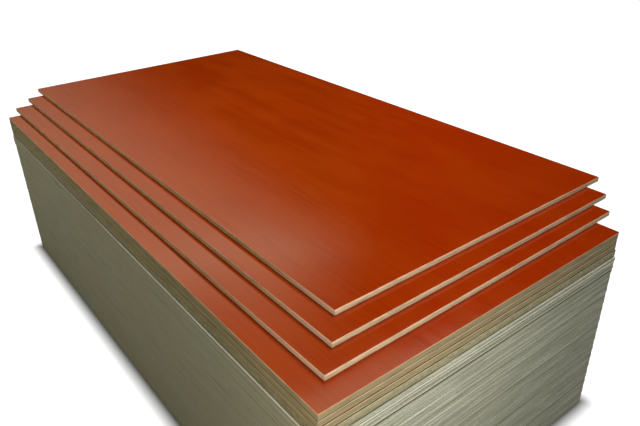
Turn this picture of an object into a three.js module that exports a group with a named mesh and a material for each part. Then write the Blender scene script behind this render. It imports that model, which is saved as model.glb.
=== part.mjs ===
import * as THREE from "three";

// A stack of film-faced plywood sheets, lying flat on a level floor.
//
// X runs along the sheets, Y across them and Z up. The origin is the centre of
// the underside of the lowest sheet. All sizes are in millimetres.
//
// From the floor up the stack holds three kinds of sheet, all cut to one size:
//   sealed sheets, whose edges are painted, in a close pile
//   raw sheets, whose edges show the veneers, on top of the pile
//   loose sheets, laid on the raw ones and fanned out towards one corner

// The cut size that every sheet shares.
const SHEET_LENGTH = 2440;
const SHEET_WIDTH = 1220;

// What each kind of sheet measures through its veneers and films.
const SEALED_THICKNESS = 15.3;
const RAW_THICKNESS = 21.7;
const LOOSE_THICKNESS = 17.2;

// How many sealed sheets the pile holds.
const SEALED_COUNT = 41;

// Flat sheets touch only at their high spots, which leaves this much between them.
const LAYER_GAP = 0.3;

// The small flat that sanding leaves on every edge of a sheet.
const ARRIS = 0.5;

// How far a sealed sheet strays from the pile's line, along the pile and across it.
const END_STRAY = 0.6;
const SIDE_STRAY = 0.3;

// The angle, in radians, that spreads those strays without a visible pattern.
const STRAY_STEP = 2.4;

// The uppermost sealed sheets stand proud of the pile, at its end and at its side.
const PROUD_COUNT = 3;
const PROUD_END = 2.4;
const PROUD_SIDE = 2.2;

// Each raw sheet lies a little back from the end of the pile and from its side.
// The lowest shows a narrow step of its top face in front of the others.
const RAW_SHEETS = [
  { back: 2.6, across: 1.4 },
  { back: 5.6, across: 1.6 },
  { back: 6.2, across: 1.8 },
  { back: 6, across: 2 },
];

// Each loose sheet is pushed back along the stack, pushed across it and turned a little.
const LOOSE_SHEETS = [
  { back: 79, across: 66, turnDegrees: 0.43 },
  { back: 139, across: 142, turnDegrees: 0.26 },
  { back: 213, across: 214, turnDegrees: 0.15 },
];

const filmFace = { color: 0x9c3412, roughness: 0.3, metalness: 0 };
const sealedEdge = { color: 0x8e8e78, roughness: 0.75, metalness: 0 };

const stack = new THREE.Group();

// The height, above the floor, of the next sheet's underside.
let layer = 0;

// A flat sheet with its edges eased, centred on Z and resting on Z = 0.
function sheetGeometry(thickness) {
  const halfLength = SHEET_LENGTH / 2 - ARRIS;
  const halfWidth = SHEET_WIDTH / 2 - ARRIS;
  const outline = new THREE.Shape([
    new THREE.Vector2(-halfLength, -halfWidth),
    new THREE.Vector2(halfLength, -halfWidth),
    new THREE.Vector2(halfLength, halfWidth),
    new THREE.Vector2(-halfLength, halfWidth),
  ]);
  const geometry = new THREE.ExtrudeGeometry(outline, {
    depth: thickness - 2 * ARRIS,
    bevelEnabled: true,
    bevelThickness: ARRIS,
    bevelSize: ARRIS,
    bevelSegments: 1,
  });
  geometry.translate(0, 0, ARRIS);
  return geometry;
}

// Lays one sheet on top of those laid so far.
function laySheet(name, thickness, finish, x, y, turnDegrees) {
  const material = new THREE.MeshStandardMaterial(finish);
  const sheet = new THREE.Mesh(sheetGeometry(thickness), material);
  sheet.name = name;
  sheet.position.set(x, y, layer);
  sheet.rotation.z = THREE.MathUtils.degToRad(turnDegrees);
  stack.add(sheet);
  layer += thickness + LAYER_GAP;
}

// Sealed sheets, numbered up from the floor. The lowest one lies on the stack's centre.
for (let index = 0; index < SEALED_COUNT; index += 1) {
  const name = `sealed_sheet_${String(index + 1).padStart(2, "0")}`;
  const proud = index >= SEALED_COUNT - PROUD_COUNT ? 1 : 0;
  const x = proud * PROUD_END + END_STRAY * Math.sin(index * STRAY_STEP);
  const y = -proud * PROUD_SIDE + SIDE_STRAY * Math.sin(2 * index * STRAY_STEP);
  laySheet(name, SEALED_THICKNESS, sealedEdge, x, y, 0);
}

// Raw sheets, squared up on the sealed ones.
RAW_SHEETS.forEach(({ back, across }, index) => {
  laySheet(`raw_sheet_${index + 1}`, RAW_THICKNESS, filmFace, -back, across, 0);
});

// Loose sheets, each fanned further towards the back corner than the one below it.
LOOSE_SHEETS.forEach(({ back, across, turnDegrees }, index) => {
  laySheet(`loose_sheet_${index + 1}`, LOOSE_THICKNESS, filmFace, -back, across, turnDegrees);
});

export default stack;
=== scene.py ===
import math

import bmesh
import bpy
from mathutils import Euler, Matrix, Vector


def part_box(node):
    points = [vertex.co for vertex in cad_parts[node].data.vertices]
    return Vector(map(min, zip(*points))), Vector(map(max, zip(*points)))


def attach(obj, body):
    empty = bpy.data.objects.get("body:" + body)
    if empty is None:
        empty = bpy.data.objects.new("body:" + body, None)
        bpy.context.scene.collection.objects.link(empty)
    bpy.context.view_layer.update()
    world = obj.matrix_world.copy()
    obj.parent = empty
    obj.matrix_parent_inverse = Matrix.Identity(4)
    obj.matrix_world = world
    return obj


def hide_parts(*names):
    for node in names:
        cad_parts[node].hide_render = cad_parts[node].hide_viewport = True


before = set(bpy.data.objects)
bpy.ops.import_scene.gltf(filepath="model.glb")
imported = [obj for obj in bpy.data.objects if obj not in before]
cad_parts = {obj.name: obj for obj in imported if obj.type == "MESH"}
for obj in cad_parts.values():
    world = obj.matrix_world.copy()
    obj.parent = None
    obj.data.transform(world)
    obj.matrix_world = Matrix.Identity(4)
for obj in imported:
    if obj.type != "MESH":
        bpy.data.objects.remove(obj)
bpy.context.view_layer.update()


# ---------------------------------------------------------------------------
# Camera
# A camera at head height, just off the stack's near corner. It looks down and
# across the stack through a moderately wide lens.

LENS_MM = 35.417
SENSOR_WIDTH_MM = 36
CAMERA_PLACE = (2.0019, -1.1972, 1.7552)
CAMERA_TURN_DEGREES = (61.465, 0.940, 51.925)

camera_data = bpy.data.cameras.new("studio_camera")
camera_data.sensor_width = SENSOR_WIDTH_MM
camera_data.lens = LENS_MM
camera = bpy.data.objects.new("studio_camera", camera_data)
camera.location = CAMERA_PLACE
camera.rotation_euler = Euler([math.radians(turn) for turn in CAMERA_TURN_DEGREES])
bpy.context.scene.collection.objects.link(camera)
bpy.context.scene.camera = camera
bpy.context.scene.view_settings.view_transform = "Standard"


# ---------------------------------------------------------------------------
# Sealed sheets
# The close pile: plywood panels with a red resin film on both faces. Their
# edges were sealed together, as a pile, with a matt grey-green paint that runs
# over the joints and is rubbed pale along many of the sheets' upper corners.
# Painted shade darkens some joints, shoulders and feet, and the barest corners are partly painted
# highlight.

# X runs along the sheets to the near end, and Y across them to the far side.
SHEET_LENGTH = 2.44
SHEET_WIDTH = 1.22
SEALED_THICKNESS = 0.0153
SEALED_COUNT = 41
SEALED_ARRIS = 0.0005
SEALED_CUTS_ALONG = 24
SEALED_CUTS_ACROSS = 12

# A panel is a hair smaller than its solid, so that its sawn edges can wander within it.
EDGE_ALLOWANCE = 0.0002
EDGE_WOBBLE = 0.00035
WOBBLE_LENGTH = 0.012
WANDERING_MARGIN = 0.0025

# How close to a rim, or to a level, a point lies that counts as on it.
RIM_TOLERANCE = 0.001
LEVEL_TOLERANCE = 1e-5

# The paint runs in over the faces, and its outermost strip is rubbed with the corner and shares
# its painted highlight.
PAINTED_MARGIN = 0.014
RUBBED_STRIP = 0.0028
PAINT_RIDGE = 0.00022
RIDGE_MARGIN = 0.005

# The bands of an edge, from its foot up, that can by themselves be rubbed pale or darkened with
# painted shade.
FOOT_BAND = 0.0026
SHOULDER_BAND = 0.0050
TOP_BAND = 0.0034
SHOULDER_TOP = SEALED_THICKNESS - TOP_BAND
SHOULDER_FOOT = SHOULDER_TOP - SHOULDER_BAND

# Wear is 1 where the paint is rubbed pale, 2 where it is rubbed bare, partly as painted highlight,
# and -1 where painted shade makes it darkest. This is the wear of each joint at the ends, counted
# down from the top of the pile.
RUBBED_JOINTS = {
    0: 0.45, 1: 1.25, 4: 0.75, 5: 0.6, 7: 0.9, 8: 0.5, 9: 1.0,
    11: 0.7, 12: 0.5, 13: 0.5, 15: 0.35, 16: 0.35, 17: 0.95,
}

# The joints that aren't listed are faint, but for every fourth, which is painted over. All
# fade downwards, and would be gone this many joints down.
FAINT_JOINT = 0.25
PAINTED_OVER_JOINT = -0.25
PAINTED_OVER_EVERY = 4
JOINTS_TO_FADE_OUT = 90

# The uppermost sheets stand a little proud: their feet are rubbed, and painted shade darkens
# the edges below them.
JOINT_BELOW_PROUD = 3
SHADED_JOINT = -1.0
RUBBED_FEET = (1, 2)
RUBBED_FOOT = 0.8
SHADED_SHOULDERS = {0: 0.05, 1: -0.1, 2: -0.3, 3: -1.0}

# A foot is darkened with painted shade beside the corner below it, the more so the more that
# one is rubbed.
FOOT_SHADE_SHARE = -0.35
UNRUBBED_CORNER = 0.1

# The joints that show at the near end of the long sides, paler or darker, and the painted shade
# there under the top sheet's rubbed corner.
SIDE_LINES = {1: 0.3, 2: -0.35, 3: -0.35, 5: -0.2}
SHADED_SIDE_SHOULDER = -0.3

# The film's colours, in linear red, green and blue, as all colours here are. The right-hand
# corner is the one between the near end and the far side. Towards the near side the film is
# painted paler, as painted light, and towards that corner darker, as painted shade.
FILM_COLOUR = (0.330, 0.033, 0.0004)
FILM_DEEPER = (0.288, 0.025, 0.0003)
FILM_LIT_NEAR_SIDE = (0.345, 0.040, 0.0006)
FILM_RIGHT_HALF = (0.322, 0.021, 0.0003)
FILM_FIBRES = (0.21, 0.014, 0.0002)
FILM_CLOUDS = (0.36, 0.042, 0.0005)
FILM_SHADED_RIGHT_CORNER = (0.245, 0.019, 0.0002)

# What marks the edge paint. The bare colour is partly painted highlight, the dark one serves
# dark joints and painted shade, and painted shade darkens the paint from this height down.
SCUFFED = (0.12, 0.12, 0.07)
PAINTED_SHADE_LOW = (0.12, 0.11, 0.065)
PAINTED_SHADE_BELOW = 0.6
RUBBED_PALE = (0.69, 0.66, 0.52)
RUBBED_BARE_AND_HIGHLIGHT = (0.98, 0.93, 0.75)
DARK_JOINT_AND_SHADE = (0.07, 0.07, 0.045)


def new_finish(name, roughness, specular):
    """A material and its main shader."""
    finish = bpy.data.materials.new(name)
    finish.use_nodes = True
    shader = finish.node_tree.nodes["Principled BSDF"]
    shader.inputs["Roughness"].default_value = roughness
    shader.inputs["Specular IOR Level"].default_value = specular
    return finish, shader


def grain(finish, stretch, detail, offset=0.0):
    """Noise on the stack's own axes, moved by the offset so that no two patterns match.

    The stretch is in cycles per metre along X, Y and Z.
    """
    tree = finish.node_tree
    place = tree.nodes.new("ShaderNodeTexCoord")
    mapping = tree.nodes.new("ShaderNodeMapping")
    mapping.inputs["Location"].default_value = (offset, offset * 1.7, offset * 0.6)
    mapping.inputs["Scale"].default_value = stretch
    noise = tree.nodes.new("ShaderNodeTexNoise")
    noise.inputs["Scale"].default_value = 1
    noise.inputs["Detail"].default_value = detail
    tree.links.new(place.outputs["Object"], mapping.inputs["Vector"])
    tree.links.new(mapping.outputs["Vector"], noise.inputs["Vector"])
    return noise.outputs["Fac"]


def along(finish, axis):
    """How far along the stack's own X, Y or Z a place lies, in metres."""
    tree = finish.node_tree
    place = tree.nodes.new("ShaderNodeTexCoord")
    split = tree.nodes.new("ShaderNodeSeparateXYZ")
    tree.links.new(place.outputs["Object"], split.inputs["Vector"])
    return split.outputs[axis]


def between(finish, pattern, low, high, out_low=0.0, out_high=1.0, curve="LINEAR"):
    """Spreads the part of a pattern from low to high over out_low to out_high."""
    tree = finish.node_tree
    spread = tree.nodes.new("ShaderNodeMapRange")
    spread.interpolation_type = curve
    spread.inputs["From Min"].default_value = low
    spread.inputs["From Max"].default_value = high
    spread.inputs["To Min"].default_value = out_low
    spread.inputs["To Max"].default_value = out_high
    tree.links.new(pattern, spread.inputs["Value"])
    return spread.outputs["Result"]


def combine(finish, operation, first, second):
    """Two patterns made one, by ADD, MULTIPLY or MAXIMUM."""
    result = finish.node_tree.nodes.new("ShaderNodeMath")
    result.operation = operation
    finish.node_tree.links.new(first, result.inputs[0])
    finish.node_tree.links.new(second, result.inputs[1])
    return result.outputs["Value"]


def blend(finish, share, first, second):
    """The first colour where the share is 0 and the second where it is 1."""
    tree = finish.node_tree
    mix = tree.nodes.new("ShaderNodeMix")
    mix.data_type = "RGBA"
    tree.links.new(share, mix.inputs["Factor"])
    for socket, colour in ((mix.inputs["A"], first), (mix.inputs["B"], second)):
        if isinstance(colour, tuple):
            socket.default_value = (*colour, 1)
        else:
            tree.links.new(colour, socket)
    return mix.outputs["Result"]


def tint(finish, body, colour, pattern, low, high, most=1.0, curve="LINEAR"):
    """Lays a colour over the body, from none where the pattern is low to the most where it is high."""
    return blend(finish, between(finish, pattern, low, high, 0, most, curve), body, colour)


def relief(finish, shader, height, depth):
    """Raises the surface where the pattern is high, by the depth in metres."""
    tree = finish.node_tree
    bump = tree.nodes.new("ShaderNodeBump")
    bump.inputs["Strength"].default_value = 1
    bump.inputs["Distance"].default_value = depth
    tree.links.new(height, bump.inputs["Height"])
    tree.links.new(bump.outputs["Normal"], shader.inputs["Normal"])


def toned(colour, share):
    """A colour made darker, or paler where the share is over 1."""
    return tuple(share * part for part in colour)


def film_finish():
    """Glossy red-brown resin film, with the face veneer's grain showing faintly through it."""
    finish, shader = new_finish("red_film", roughness=0.1, specular=0.3)
    broad = grain(finish, (1.3, 13, 31), 4)
    fibres = grain(finish, (3.5, 90, 31), 5, offset=3.0)
    clouds = grain(finish, (2.6, 7.0, 17), 3, offset=7.0)
    rightwards = combine(finish, "ADD", along(finish, "X"), along(finish, "Y"))
    body = tint(finish, FILM_COLOUR, FILM_DEEPER, broad, 0.40, 0.60)
    # Painted light: paler towards the near side.
    body = tint(finish, body, FILM_LIT_NEAR_SIDE, along(finish, "Y"), 0.45, -0.15, 0.8, "SMOOTHSTEP")
    body = tint(finish, body, FILM_RIGHT_HALF, rightwards, 0.45, 0.95, 0.8)
    body = tint(finish, body, FILM_FIBRES, fibres, 0.46, 0.66, 0.30)
    body = tint(finish, body, FILM_CLOUDS, clouds, 0.42, 0.66, 0.45)
    # Painted shade: darker towards the right-hand corner.
    body = tint(finish, body, FILM_SHADED_RIGHT_CORNER, rightwards, 1.1, 2.0, 0.9)
    roughness = between(finish, clouds, 0.3, 0.7, 0.08, 0.13)
    finish.node_tree.links.new(body, shader.inputs["Base Color"])
    finish.node_tree.links.new(roughness, shader.inputs["Roughness"])
    relief(finish, shader, grain(finish, (0.8, 20, 31), 5, offset=11.0), depth=0.0003)
    return finish


def sealing_finish(name, thin, thick, pooled, roughness_of_cut, shade_towards_foot):
    """Matt edge paint, streaked along the sheets by the veneers beneath where these were cut roughly,
    and darkened with painted shade low down.
    """
    finish, shader = new_finish(name, roughness=0.8, specular=0.1)
    clouds = grain(finish, (2.4, 2.4, 6), 4, offset=5.0)
    veneers = grain(finish, (1.5, 1.5, 240), 3)
    strokes = grain(finish, (7, 7, 420), 4, offset=2.0)
    pits = grain(finish, (150, 150, 210), 3, offset=8.0)
    scuffs = grain(finish, (3, 3, 55), 5, offset=12.0)
    thinnings = grain(finish, (4.5, 4.5, 64), 4, offset=9.0)
    body = tint(finish, thin, thick, clouds, 0.35, 0.65)
    traces_of_cut = (
        (veneers, 0.30, 0.55, 0.95, toned(thin, 0.74)),
        (strokes, 0.50, 0.72, 0.90, pooled),
        (pits, 0.44, 0.62, 0.50, toned(thin, 0.55)),
    )
    for pattern, low, high, most, colour in traces_of_cut:
        body = tint(finish, body, colour, pattern, low, high, most * roughness_of_cut)
    body = tint(finish, body, SCUFFED, scuffs, 0.62, 0.72, 0.35)
    # Painted shade: darker from this height down towards the foot.
    body = tint(finish, body, PAINTED_SHADE_LOW, along(finish, "Z"), PAINTED_SHADE_BELOW, 0, shade_towards_foot)
    # This attribute holds rubbing, painted highlight where the paint is bare, and dark joints and
    # painted shade below 0.
    wear_and_shading = finish.node_tree.nodes.new("ShaderNodeAttribute")
    wear_and_shading.attribute_name = "wear_and_shading"
    wear_and_shading_level = wear_and_shading.outputs["Fac"]
    patchy = between(finish, thinnings, 0.3, 0.55, 0.4, 1)
    rubbed_and_lit = combine(finish, "MULTIPLY", between(finish, wear_and_shading_level, 0, 1), patchy)
    body = blend(finish, rubbed_and_lit, body, RUBBED_PALE)
    # Painted highlight: the barest places are partly light painted into the colour.
    body = tint(finish, body, RUBBED_BARE_AND_HIGHLIGHT, wear_and_shading_level, 1, 2)
    body = tint(finish, body, DARK_JOINT_AND_SHADE, wear_and_shading_level, 0, -1)
    finish.node_tree.links.new(body, shader.inputs["Base Color"])
    relief(finish, shader, pits, depth=0.0003 * roughness_of_cut)
    return finish


def pick(sheet, kind, test):
    """Selects, in edit mode, the sheet's faces or edges that pass the test."""
    bpy.ops.mesh.select_mode(type=kind)
    bpy.ops.mesh.select_all(action="DESELECT")
    shape = bmesh.from_edit_mesh(sheet.data)
    for part in shape.faces if kind == "FACE" else shape.edges:
        part.select_set(test(part))
    bmesh.update_edit_mesh(sheet.data)


def runs_along(edge, axis):
    """Whether an edge lies along the axis numbered 0, 1 or 2."""
    return abs((edge.verts[0].co - edge.verts[1].co).normalized()[axis]) > 0.9


def sawn_blank(name, thickness, cuts_along, cuts_across):
    """A panel sawn to size, with its edges divided so that they can be a little uneven."""
    bpy.ops.object.select_all(action="DESELECT")
    bpy.ops.mesh.primitive_cube_add(
        size=1,
        location=(0, 0, thickness / 2),
        scale=(SHEET_LENGTH - 2 * EDGE_ALLOWANCE, SHEET_WIDTH - 2 * EDGE_ALLOWANCE, thickness),
    )
    sheet = bpy.context.object
    sheet.name = name
    bpy.ops.object.transform_apply(location=True, rotation=True, scale=True)
    bpy.ops.object.mode_set(mode="EDIT")
    pick(sheet, "EDGE", lambda edge: runs_along(edge, 0))
    bpy.ops.mesh.subdivide(number_cuts=cuts_along)
    pick(sheet, "EDGE", lambda edge: runs_along(edge, 1))
    bpy.ops.mesh.subdivide(number_cuts=cuts_across)
    bpy.ops.object.mode_set(mode="OBJECT")
    return sheet


def slice_level(height):
    """Cuts the whole panel's faces at one height, as a layer's boundary."""
    bpy.ops.mesh.select_all(action="SELECT")
    bpy.ops.mesh.bisect(plane_co=(0, 0, height), plane_no=(0, 0, 1))


def finish_selected(sheet, slot_number):
    """Gives the selected faces one of the sheet's finishes."""
    sheet.active_material_index = slot_number
    bpy.ops.object.material_slot_assign()


def finish_faces(sheet, slot_number, test):
    """Gives the faces that pass the test one of the sheet's finishes."""
    pick(sheet, "FACE", test)
    finish_selected(sheet, slot_number)


def ease_rims(sheet, thickness, width):
    """Takes the sharp corner off the top and bottom rims."""
    half = (SHEET_LENGTH / 2 - RIM_TOLERANCE, SHEET_WIDTH / 2 - RIM_TOLERANCE)

    def on_rim(edge):
        level = edge.verts[0].co.z
        outermost = level < LEVEL_TOLERANCE or level > thickness - LEVEL_TOLERANCE
        if runs_along(edge, 2) or not outermost:
            return False
        return any(all(abs(v.co[axis]) > half[axis] for v in edge.verts) for axis in (0, 1))

    pick(sheet, "EDGE", on_rim)
    bpy.ops.mesh.bevel(offset=width, segments=1, affect="EDGES")


def mark_edges(sheet):
    """Groups the points of the end edges and of the side edges."""
    for group, axis, reach in (("ends", 0, SHEET_LENGTH / 2), ("sides", 1, SHEET_WIDTH / 2)):
        points = [v.index for v in sheet.data.vertices if abs(v.co[axis]) > reach - WANDERING_MARGIN]
        sheet.vertex_groups.new(name=group).add(points, 1.0, "REPLACE")


def lay_sheet(pattern, name, node, turn_degrees=0):
    """Copies a finished pattern sheet, with its own mesh, to where the construction's sheet lies.

    Returns it with the place of its foot, in the middle of its underside.
    """
    low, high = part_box(node)
    middle = (low + high) / 2
    foot = Vector((middle.x, middle.y, low.z))
    sheet = pattern.copy()
    sheet.data = pattern.data.copy()
    sheet.name = sheet.data.name = name
    bpy.context.scene.collection.objects.link(sheet)
    bpy.ops.object.select_all(action="DESELECT")
    sheet.select_set(True)
    bpy.context.view_layer.objects.active = sheet
    sheet.location = foot
    sheet.rotation_euler.z = math.radians(turn_degrees)
    bpy.ops.object.transform_apply(location=True, rotation=True, scale=True)
    return sheet, foot


def wander_edges(sheet):
    """Lets the sheet's sawn edges wander by a hair, differently on every sheet."""
    wander = bpy.data.textures.get("saw_wander") or bpy.data.textures.new("saw_wander", "CLOUDS")
    wander.noise_scale = WOBBLE_LENGTH
    for axis, group in (("X", "ends"), ("Y", "sides")):
        modifier = sheet.modifiers.new("wander", "DISPLACE")
        modifier.texture = wander
        modifier.direction = axis
        modifier.vertex_group = group
        modifier.mid_level = 0.5
        modifier.strength = EDGE_WOBBLE
        bpy.ops.object.modifier_apply(modifier=modifier.name)


def from_rim(place):
    """How far a place on a sheet is from the nearest of its edges."""
    return min(SHEET_LENGTH / 2 - abs(place.x), SHEET_WIDTH / 2 - abs(place.y))


red_film = film_finish()
end_paint = sealing_finish(
    "end_paint",
    thin=(0.311, 0.319, 0.236),
    thick=(0.375, 0.385, 0.289),
    pooled=(0.54, 0.535, 0.42),
    roughness_of_cut=1.1,
    shade_towards_foot=0,
)
# On the long sides the paint is tinted warmer, as painted warm light.
side_paint = sealing_finish(
    "side_paint",
    thin=(0.356, 0.311, 0.203),
    thick=(0.343, 0.337, 0.225),
    pooled=(0.44, 0.42, 0.285),
    roughness_of_cut=0.1,
    shade_towards_foot=0.3,
)

sealed_pattern = sawn_blank("sealed_pattern", SEALED_THICKNESS, SEALED_CUTS_ALONG, SEALED_CUTS_ACROSS)
sealed_finishes = (end_paint, side_paint, red_film)
for finish in sealed_finishes:
    sealed_pattern.data.materials.append(finish)
bpy.ops.object.mode_set(mode="EDIT")
for level in (FOOT_BAND, SHOULDER_FOOT, SHOULDER_TOP):
    slice_level(level)
finish_faces(sealed_pattern, sealed_finishes.index(side_paint), lambda face: abs(face.normal.y) > 0.5)
for facing in (-1, 1):
    pick(sealed_pattern, "FACE", lambda face: face.normal.z * facing > 0.9)
    bpy.ops.mesh.inset(thickness=RUBBED_STRIP, use_even_offset=True)
    bpy.ops.mesh.inset(thickness=PAINTED_MARGIN - RUBBED_STRIP, use_even_offset=True)
    finish_selected(sealed_pattern, sealed_finishes.index(red_film))
ease_rims(sealed_pattern, SEALED_THICKNESS, SEALED_ARRIS)
bpy.ops.object.mode_set(mode="OBJECT")
for point in sealed_pattern.data.vertices:
    if from_rim(point.co) < RIDGE_MARGIN and point.co.z > SEALED_THICKNESS / 2:
        point.co.z += PAINT_RIDGE
mark_edges(sealed_pattern)
sealed_pattern.data.attributes.new("wear_and_shading", "FLOAT", "CORNER")


def end_rubbing_and_highlight(joint, y):
    """How much of a joint's rubbing shows at one place across the end of the pile.

    The two highest are barest at the far side, partly as painted highlight, and the lower ones are
    palest near the middle.
    """
    if joint == 0:
        return max(0.9 + 0.7 * y, 0.75 + 2.8 * y)
    if joint == 1:
        return 1.2 + 0.6 * y
    if joint < JOINT_BELOW_PROUD:
        return 1
    return max(0.4, 1 - 1.3 * abs(y - 0.05))


def side_rubbing_and_highlight(x):
    """How much rubbing the top corner of the pile has along its sides: bare towards the near end, partly
    as painted highlight.
    """
    return min(2, max(0.8, 1.35 + 1.7 * x))


def side_line_share(x):
    """How much of a side's joints shows: none along the far half and all by the near end."""
    return min(1, max(0, 1.4 * x - 0.3))


def beside(place):
    """Whether a place on a sheet is nearer to a long side than to an end."""
    return SHEET_WIDTH / 2 - abs(place.y) < SHEET_LENGTH / 2 - abs(place.x)


def end_wear_and_shading(joint, height, y):
    """How pale from rubbing, and how dark with painted shade, an end's edge is at one height on the
    sheet and one place across it.
    """
    if height > SHOULDER_TOP:
        if joint == JOINT_BELOW_PROUD:
            return SHADED_JOINT
        unlisted = PAINTED_OVER_JOINT if joint % PAINTED_OVER_EVERY == 2 else FAINT_JOINT
        line = RUBBED_JOINTS.get(joint, unlisted) * (1 - joint / JOINTS_TO_FADE_OUT)
        return line * end_rubbing_and_highlight(joint, y) if line > 0 else line
    if height > SHOULDER_FOOT:
        return SHADED_SHOULDERS.get(joint, 0.0)
    if height < FOOT_BAND:
        if joint in RUBBED_FEET:
            return RUBBED_FOOT
        return FOOT_SHADE_SHARE * RUBBED_JOINTS.get(joint + 1, UNRUBBED_CORNER)
    return 0.0


def side_wear_and_shading(joint, height, x):
    """How pale from rubbing, and how dark with painted shade, a side's edge is at one height on the
    sheet and one place along it.
    """
    if height > SHOULDER_TOP:
        return SIDE_LINES.get(joint, 0.0) * side_line_share(x)
    return SHADED_SIDE_SHOULDER if joint == 0 and height > SHOULDER_FOOT else 0.0


def face_wear_and_shading(joint, face_normal, centre, place):
    """How pale from rubbing and painted highlight, and how dark with painted shade, a painted face
    is at one corner, with its centre and the corner given on the sheet.
    """
    if joint == 0 and (face_normal.z > 0.5 or beside(centre) and centre.z > SHOULDER_TOP):
        if face_normal.z > 0.9 and from_rim(centre) > RUBBED_STRIP:
            return 0.0
        return side_rubbing_and_highlight(place.x) if beside(centre) else end_rubbing_and_highlight(0, place.y)
    if beside(centre):
        return side_wear_and_shading(joint, centre.z, place.x)
    return end_wear_and_shading(joint, centre.z, place.y)


def mark_wear_and_shading(sheet, joint, foot):
    """Writes how pale and how dark every painted face is, from rubbing, painted highlight and
    painted shade, corner by corner, so that the lines fade evenly.
    """
    points = sheet.data.vertices
    values = [0.0] * len(sheet.data.loops)
    for face in sheet.data.polygons:
        centre = face.center - foot
        for corner in face.loop_indices:
            place = points[sheet.data.loops[corner].vertex_index].co - foot
            values[corner] = face_wear_and_shading(joint, face.normal, centre, place)
    sheet.data.attributes["wear_and_shading"].data.foreach_set("value", values)


for number in range(1, SEALED_COUNT + 1):
    node = f"sealed_sheet_{number:02d}"
    sheet, foot = lay_sheet(sealed_pattern, f"sealed_panel_{number:02d}", node)
    wander_edges(sheet)
    mark_wear_and_shading(sheet, SEALED_COUNT - number, foot)
    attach(sheet, "root")
    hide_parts(node)
bpy.data.objects.remove(sealed_pattern)


# ---------------------------------------------------------------------------
# Raw sheets
# Four thicker panels on the pile, whose edges were left as the saw cut them.
# Eleven veneers show at the edges, with the red film as a thin dark line above
# and below them. The lowest panel caught the edge paint as it was sprayed.

RAW_THICKNESS = 0.0217
RAW_COUNT = 4
RAW_VENEERS = 11
RAW_ARRIS = 0.0006
RAW_CUTS_ALONG = 60
RAW_CUTS_ACROSS = 30

# The film's own edge, with the face veneer's resin-stained rim beneath it.
FILM_RIM = 0.0014

# Every second veneer is sunk by this much, behind a step as narrow as a saw leaves.
VENEER_RELIEF = 0.00012
VENEER_STEP = 0.00005

# The film's outermost strip, which can catch the paint.
FACE_MARGIN = 0.005

# The fibres of a veneer that runs along the sheet, and of one across it, in cycles per metre.
FIBRES_ALONG = (8, 500, 500)
FIBRES_ACROSS = (500, 8, 500)

# The painted light that pales wood towards the near end, the painted shade that darkens it towards
# the far side, how much painted light a raw side takes, and the film's rim.
NEAR_END_PAINTED_LIGHT = (0.85, 0.630, 0.450)
FAR_SIDE_PAINTED_SHADE = (0.40, 0.270, 0.135)
RAW_SIDE_LIT_NEAR_END = 0.08
RIM_COLOUR = (0.100, 0.010, 0.004)
CHAFED_RIM = (0.17, 0.070, 0.032)

# The mist of paint on the lowest panel, with wood in its gaps, and the shade at the panel's foot.
MIST_THIN = (0.213, 0.188, 0.107)
MIST_THICK = (0.306, 0.277, 0.168)
WOOD_IN_MIST = (0.37, 0.325, 0.195)
SHADED_MIST = (0.165, 0.150, 0.088)
MIST_SHADE_TOP = 0.0134
MIST_SHADE_FULL = 0.0024


def veneer_finish(name, pale, dark, fibres, lit_near_end=0.0, shaded_far_side=0.0):
    """Bare sawn veneer, streaked along its fibres or pored across them.

    The last two are how much painted light pales it to the near end and painted shade darkens it
    to the far side.
    """
    finish, shader = new_finish(name, roughness=0.8, specular=0.1)
    streaks = grain(finish, fibres, 3)
    patches = grain(finish, (14, 14, 170), 4, offset=4.0)
    body = tint(finish, pale, dark, streaks, 0.35, 0.65)
    body = tint(finish, body, toned(dark, 0.55), patches, 0.48, 0.66, 0.6)
    # Painted light pales it towards the near end, and painted shade darkens it towards the far side.
    if lit_near_end:
        body = tint(finish, body, NEAR_END_PAINTED_LIGHT, along(finish, "X"), 0.62, 1.1, lit_near_end, "SMOOTHSTEP")
    if shaded_far_side:
        body = tint(finish, body, FAR_SIDE_PAINTED_SHADE, along(finish, "Y"), 0.48, 0.80, shaded_far_side)
    finish.node_tree.links.new(body, shader.inputs["Base Color"])
    relief(finish, shader, streaks, depth=0.00008)
    return finish


def film_rim_finish():
    """The film's own edge, chafed by handling so that the wood shows through in places."""
    finish, shader = new_finish("film_rim", roughness=0.5, specular=0.3)
    chafing = grain(finish, (16, 16, 64), 4, offset=1.0)
    body = tint(finish, RIM_COLOUR, CHAFED_RIM, chafing, 0.48, 0.66, 0.3)
    finish.node_tree.links.new(body, shader.inputs["Base Color"])
    return finish


def overspray_finish(panel_foot):
    """Raw wood misted unevenly with the grey-green edge paint, with yellow wood in the gaps."""
    finish, shader = new_finish("oversprayed_edge", roughness=0.8, specular=0.1)
    mist = grain(finish, (80, 80, 130), 4, offset=6.0)
    gaps = grain(finish, (110, 110, 160), 3, offset=2.5)
    shade_top = panel_foot + MIST_SHADE_TOP
    shade_full = panel_foot + MIST_SHADE_FULL
    body = tint(finish, MIST_THIN, MIST_THICK, mist, 0.38, 0.62)
    body = tint(finish, body, WOOD_IN_MIST, gaps, 0.52, 0.7, 0.7)
    body = tint(finish, body, SHADED_MIST, along(finish, "Z"), shade_top, shade_full, 0.55)
    finish.node_tree.links.new(body, shader.inputs["Base Color"])
    relief(finish, shader, mist, depth=0.0001)
    return finish


# A plied panel's finishes: the film and its outermost strip, then those of the ends in this
# order, and then those of the sides in the same order.
FILM_SLOT, STRIP_SLOT, RIM_SLOT, FACE_SLOT, LONG_SLOT, CROSS_SLOT = range(6)
FROM_END_TO_SIDE = 4


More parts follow.
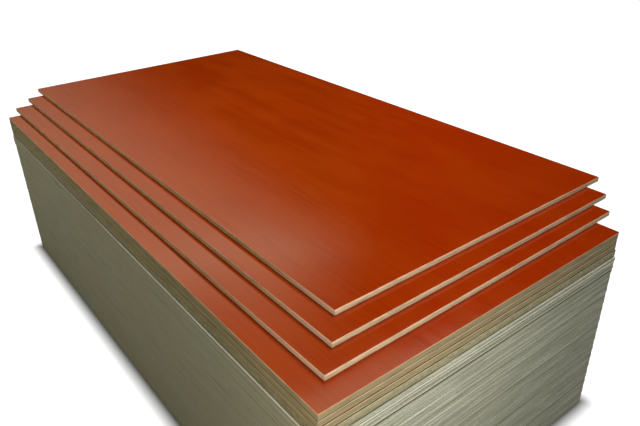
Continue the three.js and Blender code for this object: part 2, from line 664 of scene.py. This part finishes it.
def plied_pattern(name, thickness, veneers, end_finishes, side_finishes):
    """A raw-edged panel: its veneers sliced out of the blank, every second one sunk a little."""
    sheet = sawn_blank(name, thickness, RAW_CUTS_ALONG, RAW_CUTS_ACROSS)
    for finish in (red_film, red_film, *end_finishes, *side_finishes):
        sheet.data.materials.append(finish)
    veneer = (thickness - 2 * FILM_RIM) / veneers
    bpy.ops.object.mode_set(mode="EDIT")
    for number in range(veneers + 1):
        slice_level(FILM_RIM + number * veneer)

    def layer_of(face):
        height = face.calc_center_median().z
        return None if abs(face.normal.z) > 0.99 else math.floor((height - FILM_RIM) / veneer)

    pick(sheet, "FACE", lambda face: layer_of(face) in range(1, veneers, 2))
    bpy.ops.mesh.inset(thickness=VENEER_STEP, depth=-VENEER_RELIEF, use_even_offset=True)

    # The two uppermost veneers both look like the face veneer.
    finish_faces(sheet, RIM_SLOT, lambda face: layer_of(face) in (-1, veneers))
    finish_faces(sheet, LONG_SLOT, lambda face: layer_of(face) in range(0, veneers - 2, 2))
    finish_faces(sheet, CROSS_SLOT, lambda face: layer_of(face) in range(1, veneers - 2, 2))
    finish_faces(sheet, FACE_SLOT, lambda face: layer_of(face) in (veneers - 2, veneers - 1))
    pick(sheet, "FACE", lambda face: face.calc_center_median().z > thickness - LEVEL_TOLERANCE)
    finish_selected(sheet, STRIP_SLOT)
    bpy.ops.mesh.inset(thickness=FACE_MARGIN, depth=0, use_even_offset=True)
    finish_selected(sheet, FILM_SLOT)
    ease_rims(sheet, thickness, RAW_ARRIS)
    finish_faces(
        sheet, RIM_SLOT, lambda face: abs(face.normal.z) < 0.9 and layer_of(face) in (-1, veneers)
    )
    bpy.ops.object.mode_set(mode="OBJECT")
    for face in sheet.data.polygons:
        if face.material_index >= RIM_SLOT and abs(face.normal.y) > 0.5:
            face.material_index += FROM_END_TO_SIDE
    mark_edges(sheet)
    return sheet


def mist_panel(sheet):
    """Covers the lowest raw panel's edges, and the strip of film beside them, with paint mist."""
    finishes = sheet.data.materials
    for slot_number in range(FACE_SLOT, len(finishes)):
        finishes[slot_number] = oversprayed_edge
    finishes[STRIP_SLOT] = sprayed_film
    finishes[RIM_SLOT] = misted_and_lit_rim


def bare_and_lighten_lower_rim(sheet, middle_height):
    """Rubs the film's line off the foot of a panel's ends, down to the face veneer, whose paler colour
    is also painted light in the joint's shade.
    """
    for face in sheet.data.polygons:
        if face.material_index == RIM_SLOT and face.center.z < middle_height:
            face.material_index = FACE_SLOT


def bare_face_veneer(sheet, middle_height):
    """Bares a panel's upper face veneer, whose rim is red at the ends and bare at the sides."""
    sheet.data.materials[FACE_SLOT] = bared_end_veneer
    sheet.data.materials[FACE_SLOT + FROM_END_TO_SIDE] = bared_side_veneer
    rims = (RIM_SLOT, RIM_SLOT + FROM_END_TO_SIDE)
    for face in sheet.data.polygons:
        if face.material_index in rims and face.center.z > middle_height:
            face.material_index = FILM_SLOT if abs(face.normal.x) > 0.5 else face.material_index + 1


raw_long_veneer = veneer_finish(
    "raw_long_veneer", (0.385, 0.316, 0.154), (0.296, 0.241, 0.115), FIBRES_ALONG, RAW_SIDE_LIT_NEAR_END
)
raw_cross_veneer = veneer_finish(
    "raw_cross_veneer", (0.305, 0.247, 0.121), (0.224, 0.180, 0.086), FIBRES_ACROSS, RAW_SIDE_LIT_NEAR_END
)
raw_ends = (
    film_rim_finish(),
    veneer_finish("end_face_veneer", (0.485, 0.388, 0.240), (0.385, 0.300, 0.178), FIBRES_ALONG),
    veneer_finish("end_long_veneer", (0.358, 0.298, 0.166), (0.290, 0.239, 0.131), FIBRES_ALONG),
    veneer_finish("end_cross_veneer", (0.200, 0.168, 0.086), (0.144, 0.120, 0.060), FIBRES_ACROSS),
)
sprayed_film = veneer_finish("sprayed_film", (0.19, 0.150, 0.080), (0.14, 0.113, 0.060), FIBRES_ALONG)
raw_sides = (sprayed_film, raw_long_veneer, raw_long_veneer, raw_cross_veneer)
bared_end_veneer = veneer_finish(
    "bared_end_veneer", (0.55, 0.325, 0.170), (0.46, 0.262, 0.130), FIBRES_ALONG
)
bared_side_veneer = veneer_finish(
    "bared_side_veneer", (0.68, 0.440, 0.265), (0.56, 0.350, 0.200), FIBRES_ALONG
)
lowest_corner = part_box("raw_sheet_1")[0]
oversprayed_edge = overspray_finish(lowest_corner.z)
# The lowest panel's rims take the mist in a paler colour, as painted light in the joints' shade.
misted_and_lit_rim = veneer_finish("misted_and_lit_rim", (0.52, 0.475, 0.325), (0.44, 0.400, 0.265), FIBRES_ALONG)
raw_pattern = plied_pattern("raw_pattern", RAW_THICKNESS, RAW_VENEERS, raw_ends, raw_sides)
for number in range(1, RAW_COUNT + 1):
    node = f"raw_sheet_{number}"
    sheet, foot = lay_sheet(raw_pattern, f"raw_panel_{number}", node)
    wander_edges(sheet)
    middle_height = foot.z + RAW_THICKNESS / 2
    if number == 1:
        mist_panel(sheet)
    if number == 2:
        bare_and_lighten_lower_rim(sheet, middle_height)
    if number == RAW_COUNT:
        bare_face_veneer(sheet, middle_height)
    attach(sheet, "root")
    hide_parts(node)
bpy.data.objects.remove(raw_pattern)


# ---------------------------------------------------------------------------
# Loose sheets
# Three thinner panels laid on top and fanned out towards the farthest corner.
# Their nine veneers are a cleaner, paler wood than the raw sheets below. Painted
# light makes the end of the uppermost one the palest and pales the sides towards
# the near end, and painted shade darkens the ends towards the far side.

LOOSE_THICKNESS = 0.0172
LOOSE_VENEERS = 9
LOOSE_TURNS_DEGREES = (0.43, 0.26, 0.15)

# How much painted light pales the uppermost sheet's end, how much painted shade darkens the ends
# towards the far side, and how much painted light pales the sides towards the near end.
TOP_END_PAINTED_LIGHT = 1.2
LOOSE_END_SHADED_FAR_SIDE = 0.7
LOOSE_SIDE_LIT_NEAR_END = 0.75

# The pale and dark colours of each finish, in the order of a plied panel's slots.
LOOSE_END_WOODS = (
    ("rim", (0.67, 0.505, 0.330), (0.59, 0.430, 0.270), FIBRES_ALONG),
    ("face", (0.75, 0.590, 0.375), (0.67, 0.510, 0.312), FIBRES_ALONG),
    ("long", (0.72, 0.560, 0.350), (0.63, 0.480, 0.285), FIBRES_ALONG),
    ("cross", (0.62, 0.470, 0.290), (0.50, 0.368, 0.218), FIBRES_ACROSS),
)
LOOSE_SIDE_WOODS = (
    ("loose_side_rim", (0.60, 0.390, 0.230), (0.50, 0.310, 0.175), FIBRES_ALONG),
    ("loose_face_veneer", (0.56, 0.390, 0.200), (0.49, 0.335, 0.165), FIBRES_ALONG),
    ("loose_long_veneer", (0.53, 0.360, 0.180), (0.45, 0.300, 0.145), FIBRES_ALONG),
    ("loose_cross_veneer", (0.46, 0.300, 0.150), (0.36, 0.230, 0.110), FIBRES_ACROSS),
)


def loose_end_veneers(name, lighting_share):
    """The finishes of a loose sheet's ends, all made paler or darker by one share of painted light."""
    return [
        veneer_finish(
            f"{name}_{layer}",
            toned(pale, lighting_share),
            toned(dark, lighting_share),
            fibres,
            shaded_far_side=LOOSE_END_SHADED_FAR_SIDE,
        )
        for layer, pale, dark, fibres in LOOSE_END_WOODS
    ]


loose_ends = loose_end_veneers("loose_end", 1.0)
lit_top_loose_ends = loose_end_veneers("top_loose_end_painted_light", TOP_END_PAINTED_LIGHT)
loose_sides = [veneer_finish(*wood, lit_near_end=LOOSE_SIDE_LIT_NEAR_END) for wood in LOOSE_SIDE_WOODS]
loose_pattern = plied_pattern("loose_pattern", LOOSE_THICKNESS, LOOSE_VENEERS, loose_ends, loose_sides)
for number, turn in enumerate(LOOSE_TURNS_DEGREES, start=1):
    node = f"loose_sheet_{number}"
    sheet, foot = lay_sheet(loose_pattern, f"loose_panel_{number}", node, turn)
    wander_edges(sheet)
    # The uppermost sheet's ends take the copies made paler by painted light.
    if number == len(LOOSE_TURNS_DEGREES):
        for slot_number, finish in enumerate(lit_top_loose_ends, start=RIM_SLOT):
            sheet.data.materials[slot_number] = finish
    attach(sheet, "root")
    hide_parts(node)
bpy.data.objects.remove(loose_pattern)


# ---------------------------------------------------------------------------
# Studio floor
# A wide sheet of pale paper. Where the camera or a gloss sees it, it is lifted
# to white, but for a soft painted shade close round the stack's foot.

FLOOR_HALF = 30.0
FLOOR_DROP = 0.0005
FLOOR_COLOUR = (0.23, 0.23, 0.23, 1)

# How far the floor is lifted to white by the stack and far off, and how far each is from the
# stack's middle. Across the painted shade at the foot the lift grows from its share there to the
# whole.
LIFT_BY_STACK = 0.96
LIFT_FAR_OFF = 1.0
BY_STACK = 1.4
FAR_OFF = 4.0
LIFT_AT_FOOT = 0.0
FOOT_SHADE = 0.052


def seen_directly(finish):
    """1 for rays from the camera, off a gloss or through glass, and 0 for the light's own rays."""
    path = finish.node_tree.nodes.new("ShaderNodeLightPath")
    value = path.outputs["Is Camera Ray"]
    for other in ("Is Glossy Ray", "Is Transmission Ray"):
        value = combine(finish, "MAXIMUM", value, path.outputs[other])
    return value


def distance_off(finish, reach_along, reach_across):
    """How far a place lies off a rectangle in the middle that reaches this far, in metres."""
    tree = finish.node_tree
    place = tree.nodes.new("ShaderNodeTexCoord").outputs["Object"]
    for operation, amount in (
        ("ABSOLUTE", (0, 0, 0)),
        ("SUBTRACT", (reach_along, reach_across, 0)),
        ("MAXIMUM", (0, 0, 0)),
        ("LENGTH", (0, 0, 0)),
    ):
        step = tree.nodes.new("ShaderNodeVectorMath")
        step.operation = operation
        step.inputs[1].default_value = amount
        tree.links.new(place, step.inputs[0])
        place = step.outputs["Value" if operation == "LENGTH" else "Vector"]
    return place


def paper_finish():
    """Matt paper that is lifted to white where it is seen, without lighting the stack any more, but
    for a painted shade round the stack's foot.
    """
    finish = bpy.data.materials.new("floor_paper")
    finish.use_nodes = True
    tree = finish.node_tree
    tree.nodes.clear()
    from_foot = distance_off(finish, SHEET_LENGTH / 2, SHEET_WIDTH / 2)
    from_middle = distance_off(finish, 0, 0)
    by_foot = between(finish, from_foot, 0, FOOT_SHADE, LIFT_AT_FOOT, 1)
    away = between(finish, from_middle, BY_STACK, FAR_OFF, LIFT_BY_STACK, LIFT_FAR_OFF, "SMOOTHSTEP")
    share = combine(finish, "MULTIPLY", by_foot, away)
    paper = tree.nodes.new("ShaderNodeBsdfDiffuse")
    paper.inputs["Color"].default_value = FLOOR_COLOUR
    lift = tree.nodes.new("ShaderNodeEmission")
    both = tree.nodes.new("ShaderNodeAddShader")
    surface = tree.nodes.new("ShaderNodeOutputMaterial")
    tree.links.new(combine(finish, "MULTIPLY", seen_directly(finish), share), lift.inputs["Strength"])
    tree.links.new(paper.outputs["BSDF"], both.inputs[0])
    tree.links.new(lift.outputs["Emission"], both.inputs[1])
    tree.links.new(both.outputs["Shader"], surface.inputs["Surface"])
    return finish


bpy.ops.object.select_all(action="DESELECT")
bpy.ops.mesh.primitive_plane_add(size=2 * FLOOR_HALF, location=(0, 0, -FLOOR_DROP))
floor = bpy.context.object
floor.name = "studio_floor"
bpy.ops.object.transform_apply(location=True, rotation=True, scale=True)
floor.data.materials.append(paper_finish())


# ---------------------------------------------------------------------------
# Studio light
# One strong lamp over the far side leaves the near edges in their own soft shade.
# Weak ones light both ends, both sides and the near corner, in a pale room, and
# the film reflects a tall round screen that is black beyond the far side.

ROOM_FILL = 0.17
SCREEN_RADIUS = 14.0
SCREEN_HEIGHT = 24.0
SCREEN_SIDES = 48

# The glow of the screen at each height above the floor, in metres: 1 is white.
GLOW_BY_HEIGHT = (
    (3.0, 0.25), (5.5, 0.58), (8.5, 0.97), (10.0, 1.75), (11.1, 1.1), (12.3, 0.65), (14.0, 0.4),
)
GLOW_COLOUR = (0.85, 1, 0.72, 1)
BRIGHTEST = 2.2

# The black part's edge leans to the far side as it rises, up to the slant's top. It stands off
# further below than above, and the glow beside it comes up over this width, or more sharply above.
EDGE_SLANT = 0.95
SLANT_TOP = 10.0
GLOW_EDGE_WIDTH = 4.3
STANDING_OFF_HEIGHTS = (9.0, 10.4)
STANDING_OFF = (-1.4, -0.6)
SHARPENING_HEIGHTS = (8.8, 9.8)
SHARPNESS = (1, 1.45)

# High up on the far side, where the place aside and the height add up to this, it glows again.
HIGH_GLOW_SUM = 23.82
HIGH_GLOW_EDGE_WIDTH = 1.0


def soft_lamp(name, place, aim, size, power, colour=(1, 1, 1)):
    """A square soft lamp that lights the stack without showing in the film."""
    lamp_data = bpy.data.lights.new(name, "AREA")
    lamp_data.size = size
    lamp_data.energy = power
    lamp_data.color = colour
    lamp = bpy.data.objects.new(name, lamp_data)
    lamp.location = place
    lamp.rotation_euler = (Vector(aim) - Vector(place)).to_track_quat("-Z", "Y").to_euler()
    lamp.visible_camera = False
    lamp.visible_glossy = False
    bpy.context.scene.collection.objects.link(lamp)


def screen_finish():
    """The screen's glow, brighter and then dimmer with height, and black beyond the far side."""
    finish = bpy.data.materials.new("screen_glow")
    finish.use_nodes = True
    tree = finish.node_tree
    tree.nodes.clear()
    aside = along(finish, "Y")
    height = along(finish, "Z")
    glow_steps = tree.nodes.new("ShaderNodeValToRGB")
    for _ in GLOW_BY_HEIGHT[2:]:
        glow_steps.color_ramp.elements.new(0.5)
    for step, (level, glow) in zip(glow_steps.color_ramp.elements, GLOW_BY_HEIGHT):
        step.position = level / SCREEN_HEIGHT
        step.color = [glow / BRIGHTEST] * 3 + [1]
    tree.links.new(between(finish, height, 0, SCREEN_HEIGHT), glow_steps.inputs["Fac"])
    lean = between(finish, height, 0, SLANT_TOP, 0, -EDGE_SLANT * SLANT_TOP)
    standing_off = between(finish, height, *STANDING_OFF_HEIGHTS, *STANDING_OFF)
    sharpness = between(finish, height, *SHARPENING_HEIGHTS, *SHARPNESS)
    past_edge = combine(finish, "ADD", combine(finish, "ADD", aside, lean), standing_off)
    past_edge = combine(finish, "MULTIPLY", past_edge, sharpness)
    lit = between(finish, past_edge, 0, -GLOW_EDGE_WIDTH, 0, BRIGHTEST, "SMOOTHSTEP")
    glow = combine(finish, "MULTIPLY", glow_steps.outputs["Color"], lit)
    high_edge = (HIGH_GLOW_SUM, HIGH_GLOW_SUM + HIGH_GLOW_EDGE_WIDTH)
    high_and_aside = combine(finish, "ADD", aside, height)
    high_glow = between(finish, high_and_aside, *high_edge, 0, BRIGHTEST, "SMOOTHSTEP")
    light = tree.nodes.new("ShaderNodeEmission")
    light.inputs["Color"].default_value = GLOW_COLOUR
    surface = tree.nodes.new("ShaderNodeOutputMaterial")
    tree.links.new(combine(finish, "ADD", glow, high_glow), light.inputs["Strength"])
    tree.links.new(light.outputs["Emission"], surface.inputs["Surface"])
    return finish


soft_lamp("key_lamp", place=(0.15, 1.35, 4.8), aim=(0.0, 0.0, 0.6), size=2.0, power=166)
soft_lamp("end_lamp", place=(3.4, 0.8, 0.70), aim=(1.2, 0.35, 0.35), size=1.2, power=12.0)
soft_lamp(
    "near_end_lamp",
    place=(1.9, -0.35, 0.72), aim=(1.2, -0.40, 0.5), size=0.5, power=5.0, colour=(1, 0.98, 0.95),
)
soft_lamp(
    "near_corner_lamp",
    place=(1.62, -1.02, 0.74), aim=(1.2, -0.6, 0.65), size=0.4, power=2.3, colour=(1, 0.90, 0.78),
)
soft_lamp(
    "side_lamp",
    place=(-1.0, -3.6, 2.9), aim=(-0.2, -0.4, 0.4), size=2.0, power=38, colour=(1, 0.98, 0.82),
)
soft_lamp("far_end_lamp", place=(-5.0, 1.5, 3.0), aim=(0.0, 0.0, 0.4), size=3.0, power=20)
soft_lamp("back_lamp", place=(0.3, 5.0, 0.72), aim=(0.2, 0.6, 0.35), size=1.3, power=45)
soft_lamp("back_end_lamp", place=(-5.0, -0.6, 0.72), aim=(-1.2, 0.0, 0.35), size=1.3, power=26)

bpy.ops.object.select_all(action="DESELECT")
bpy.ops.mesh.primitive_cylinder_add(
    vertices=SCREEN_SIDES,
    radius=SCREEN_RADIUS,
    depth=SCREEN_HEIGHT,
    end_fill_type="NOTHING",
    location=(0, 0, SCREEN_HEIGHT / 2),
)
screen = bpy.context.object
screen.name = "reflected_screen"
bpy.ops.object.transform_apply(location=True, rotation=True, scale=True)
screen.data.materials.append(screen_finish())
screen.visible_camera = False
screen.visible_diffuse = False
screen.visible_shadow = False
screen.visible_transmission = False
screen.visible_volume_scatter = False

# The room is a dim white that the eye, and a gloss, see as plain white.
room = bpy.data.worlds.new("pale_room")
room.use_nodes = True
bpy.context.scene.world = room
tree = room.node_tree
tree.nodes.clear()
fill = tree.nodes.new("ShaderNodeBackground")
fill.inputs["Color"].default_value = (1, 1, 1, 1)
fill.inputs["Strength"].default_value = ROOM_FILL
backdrop = tree.nodes.new("ShaderNodeBackground")
backdrop.inputs["Color"].default_value = (1, 1, 1, 1)
backdrop.inputs["Strength"].default_value = 1
mixed = tree.nodes.new("ShaderNodeMixShader")
sky = tree.nodes.new("ShaderNodeOutputWorld")
tree.links.new(seen_directly(room), mixed.inputs["Fac"])
tree.links.new(fill.outputs["Background"], mixed.inputs[1])
tree.links.new(backdrop.outputs["Background"], mixed.inputs[2])
tree.links.new(mixed.outputs["Shader"], sky.inputs["Surface"])
